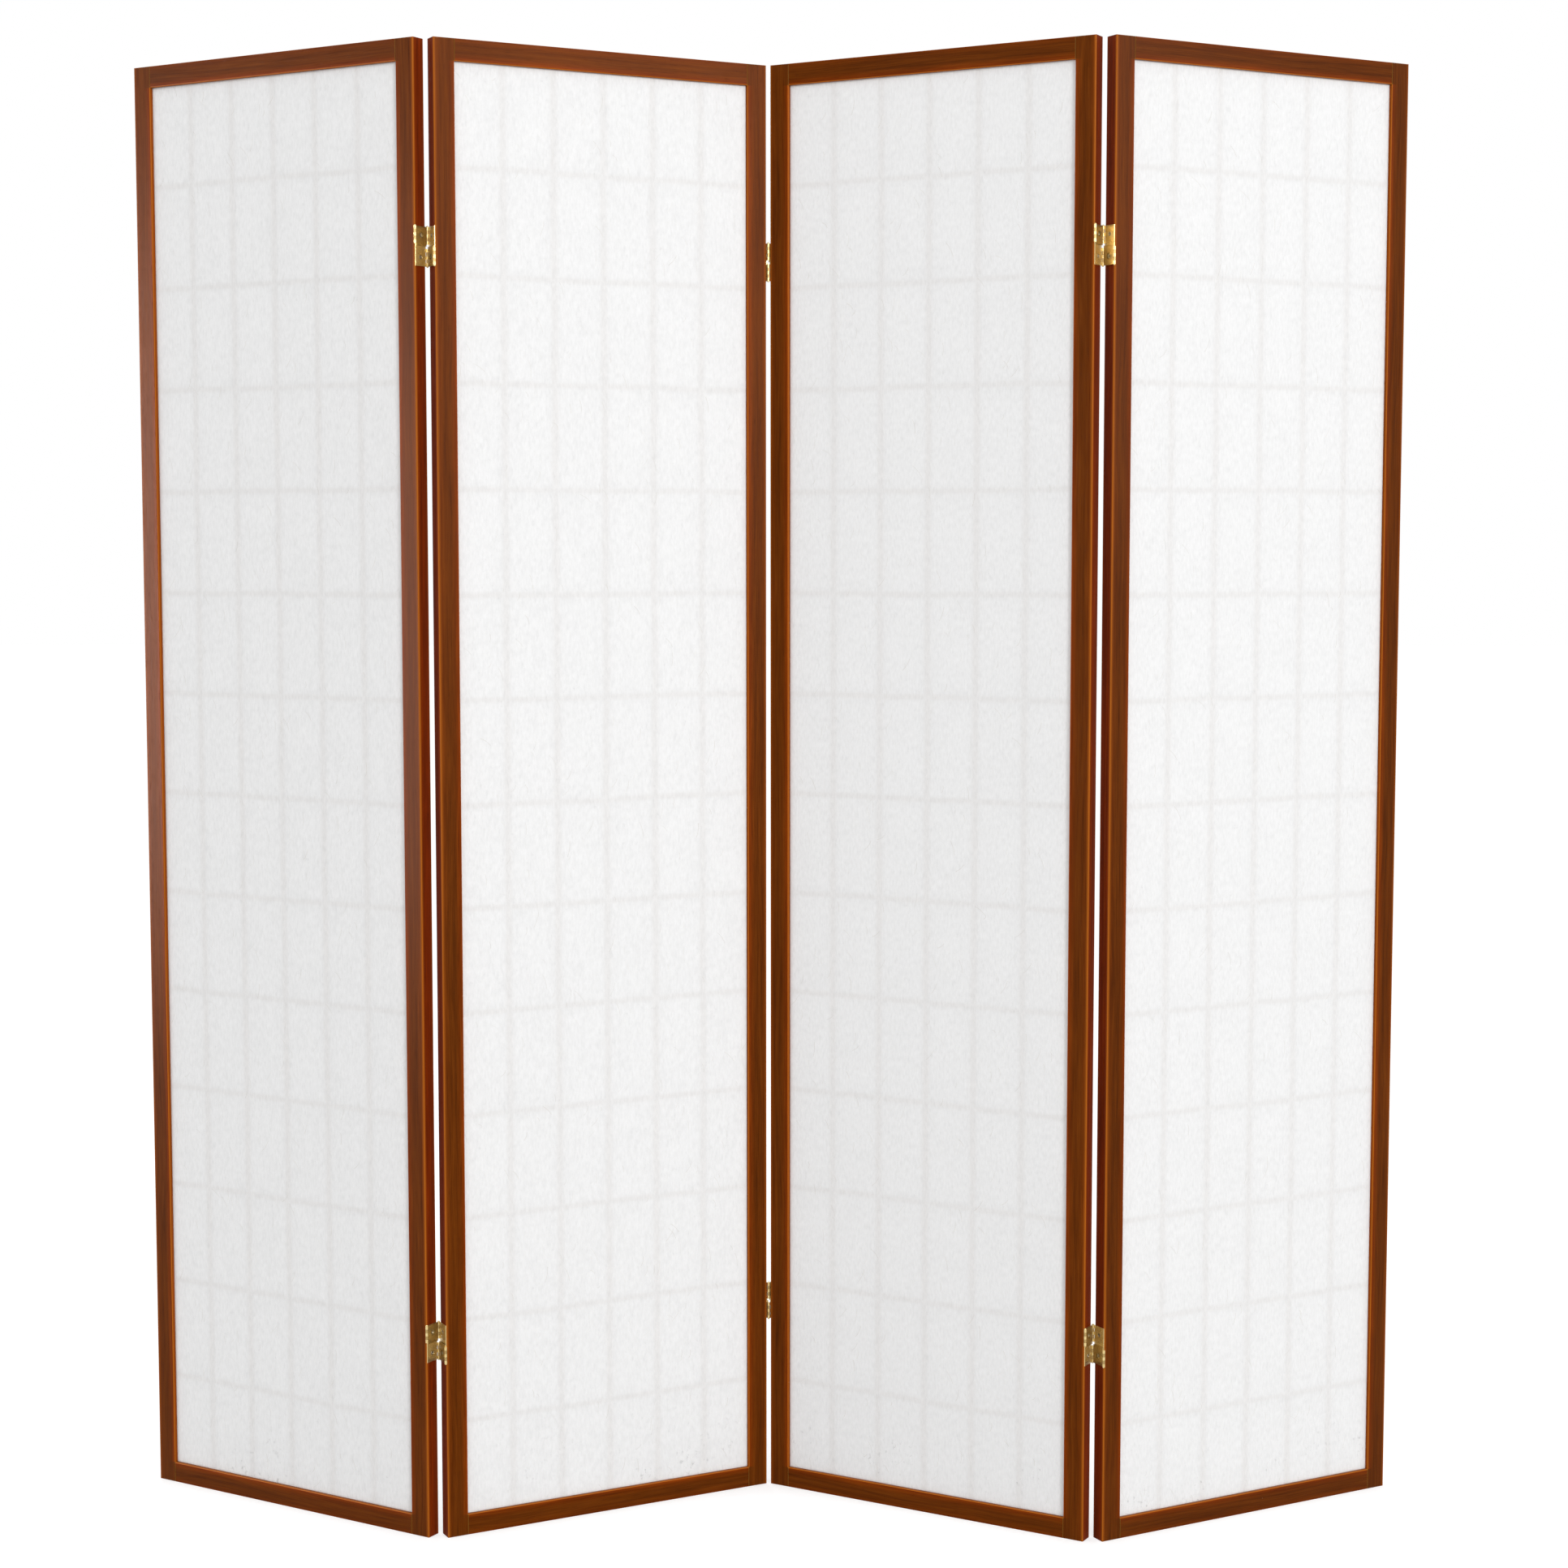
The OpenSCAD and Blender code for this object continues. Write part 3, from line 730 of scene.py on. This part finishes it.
# a seat for each packed screw: its head's middle and the way it faces
def screwSeats(number):
    points = localPoints(number, "hinge_screws")
    toWorld = panels[number]["toWorld"]
    half = sum(localBox(number, "paper")[i].x for i in (0, 1)) / 2
    seats, aims = [], []
    for outward, side in ((-1, [p for p in points if p.x < half]), (1, [p for p in points if p.x > half])):
        for z in middles(side, 2, screw["between"]) if side else []:
            face = max(p.x * outward for p in side) * outward
            y = (min(p.y for p in side) + max(p.y for p in side)) / 2
            seats.append(toWorld @ Vector((face, y, z)))
            aims.append(toWorld.to_3x3() @ Vector((outward, 0, 0)))
    mesh = bpy.data.meshes.new(f"screwSeats_{number}")
    mesh.from_pydata(seats, [], [])
    aim = mesh.attributes.new("aim", "FLOAT_VECTOR", "POINT")
    aim.data.foreach_set("vector", [c for a in aims for c in a])
    return mesh


blank = bpy.data.objects.new("screw_blank", screwBlank())
driverTree, steelFinish = screwTree(), screwSteel()
taper = (screw["head"] - screw["shank"]) / 2
for number in panelNumbers:
    screws = grow(f"hinge_screws_{number}", driverTree, {
        "Blank": blank, "Thread radius": screw["shank"] / 2, "Thread start": screw["tip"] - screw["long"],
        "Thread length": screw["long"] - screw["tip"] - taper - screw["ridge"], "Turns": screw["turns"],
        "Ridge": screw["ridge"], "Seed": screw["seed"] + number, "Material": steelFinish,
    }, start=screwSeats(number))
    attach(screws, f"panel_{number}")
    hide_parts(f"panel_{number}_hinge_screws")
bpy.data.objects.remove(blank)
print("screws: cross heads and threads")


# white floor and surround; only the light that reaches the object is at a plain level
studio = {"white": (1, 1, 1, 1), "surround": 0.835, "floorGrey": 0.56, "floorGlow": 0.59, "floorReach": 30.0}


def seenRays(tree):
    path = add(tree, "ShaderNodeLightPath").outputs
    seen = calc(tree, "MAXIMUM", path["Is Camera Ray"], path["Is Glossy Ray"])
    return calc(tree, "MAXIMUM", seen, path["Is Transmission Ray"])


def whiteWorld():
    world = bpy.data.worlds.new("whiteSurround")
    world.use_nodes = True
    tree = world.node_tree
    light = tree.nodes["Background"]
    feed(tree, light, {"Color": studio["white"], "Strength": studio["surround"]})
    white = add(tree, "ShaderNodeBackground", {"Color": studio["white"], "Strength": 1.0}).outputs[0]
    both = add(tree, "ShaderNodeMixShader", {0: seenRays(tree), 1: light.outputs[0], 2: white}).outputs[0]
    feed(tree, tree.nodes["World Output"], {"Surface": both})
    bpy.context.scene.world = world


def paleFloor():
    mesh = bpy.data.meshes.new("studio_floor")
    far = studio["floorReach"]
    mesh.from_pydata([(-far, -far, 0), (far, -far, 0), (far, far, 0), (-far, far, 0)], [], [(0, 1, 2, 3)])
    floor = bpy.data.objects.new("studio_floor", mesh)
    bpy.context.scene.collection.objects.link(floor)
    material, tree, shader = newMaterial("paleFloor")
    grey = (studio["floorGrey"],) * 3 + (1,)
    feed(tree, shader, {"Base Color": grey, "Roughness": 1.0, "Specular IOR Level": 0.0})
    glow = calc(tree, "MULTIPLY", seenRays(tree), studio["floorGlow"])
    shine = add(tree, "ShaderNodeEmission", {"Color": studio["white"], "Strength": glow}).outputs[0]
    both = add(tree, "ShaderNodeAddShader", {0: shader.outputs[0], 1: shine}).outputs[0]
    feed(tree, tree.nodes["Material Output"], {"Surface": both})
    mesh.materials.append(material)


# a softbox for sheen alone leaves the matt surfaces as they are, and one for fill the shiny ones
softboxes = [
    {"name": "keyLight", "use": "both", "power": 528,
     "place": (5.2, -10.4, 4.3), "aim": (0, 0, 0.9), "size": (3.2, 3.2)},
    {"name": "leftFill", "use": "fill", "power": 34,
     "place": (-9.3, -2.7, 1.5), "aim": (0, 0, 0.9), "size": (3.0, 3.0)},
    {"name": "leftSheen", "use": "sheen", "power": 80,
     "place": (-2.9, -0.65, 1.12), "aim": (-0.6, 0, 1.12), "size": (0.6, 1.4)},
    {"name": "rightSheen", "use": "sheen", "power": 63,
     "place": (2.4, -1.85, 2.0), "aim": (-0.2, 0, 2.0), "size": (1.4, 1.6)},
    {"name": "frontSheen", "use": "sheen", "power": 8,
     "place": (0.3, -3.6, 2.2), "aim": (0, 0, 1.0), "size": (0.8, 0.8)},
    {"name": "backFill", "use": "both", "power": 30,
     "place": (-1.5, 3.2, 2.4), "aim": (0, 0, 0.9), "size": (1.6, 1.6)},
]


def softbox(name, use, power, place, aim, size):
    light = bpy.data.lights.new(name, "AREA")
    light.shape = "RECTANGLE"
    light.size, light.size_y = size
    light.energy = power
    lamp = bpy.data.objects.new(name, light)
    lamp.location = place
    lamp.rotation_euler = (Vector(aim) - Vector(place)).to_track_quat("-Z", "Y").to_euler()
    lamp.visible_diffuse, lamp.visible_glossy = use != "sheen", use != "fill"
    bpy.context.scene.collection.objects.link(lamp)


whiteWorld()
paleFloor()
for box in softboxes:
    softbox(**box)
print("studio: white surround, floor and %d softboxes" % len(softboxes))

# the photograph's viewpoint, angles in degrees and lens in millimetres
view = {"place": (0.08465, -3.44857, 1.19826), "tilt": 85.166, "pan": 1.0633, "lens": 65.085, "sensor": 36}
camera = bpy.data.objects.new("viewpoint", bpy.data.cameras.new("viewpoint"))
camera.data.sensor_width = view["sensor"]
camera.data.lens = view["lens"]
camera.location = view["place"]
camera.rotation_euler = (math.radians(view["tilt"]), 0, math.radians(view["pan"]))
bpy.context.scene.collection.objects.link(camera)
bpy.context.scene.camera = camera
bpy.context.scene.view_settings.view_transform = "Standard"
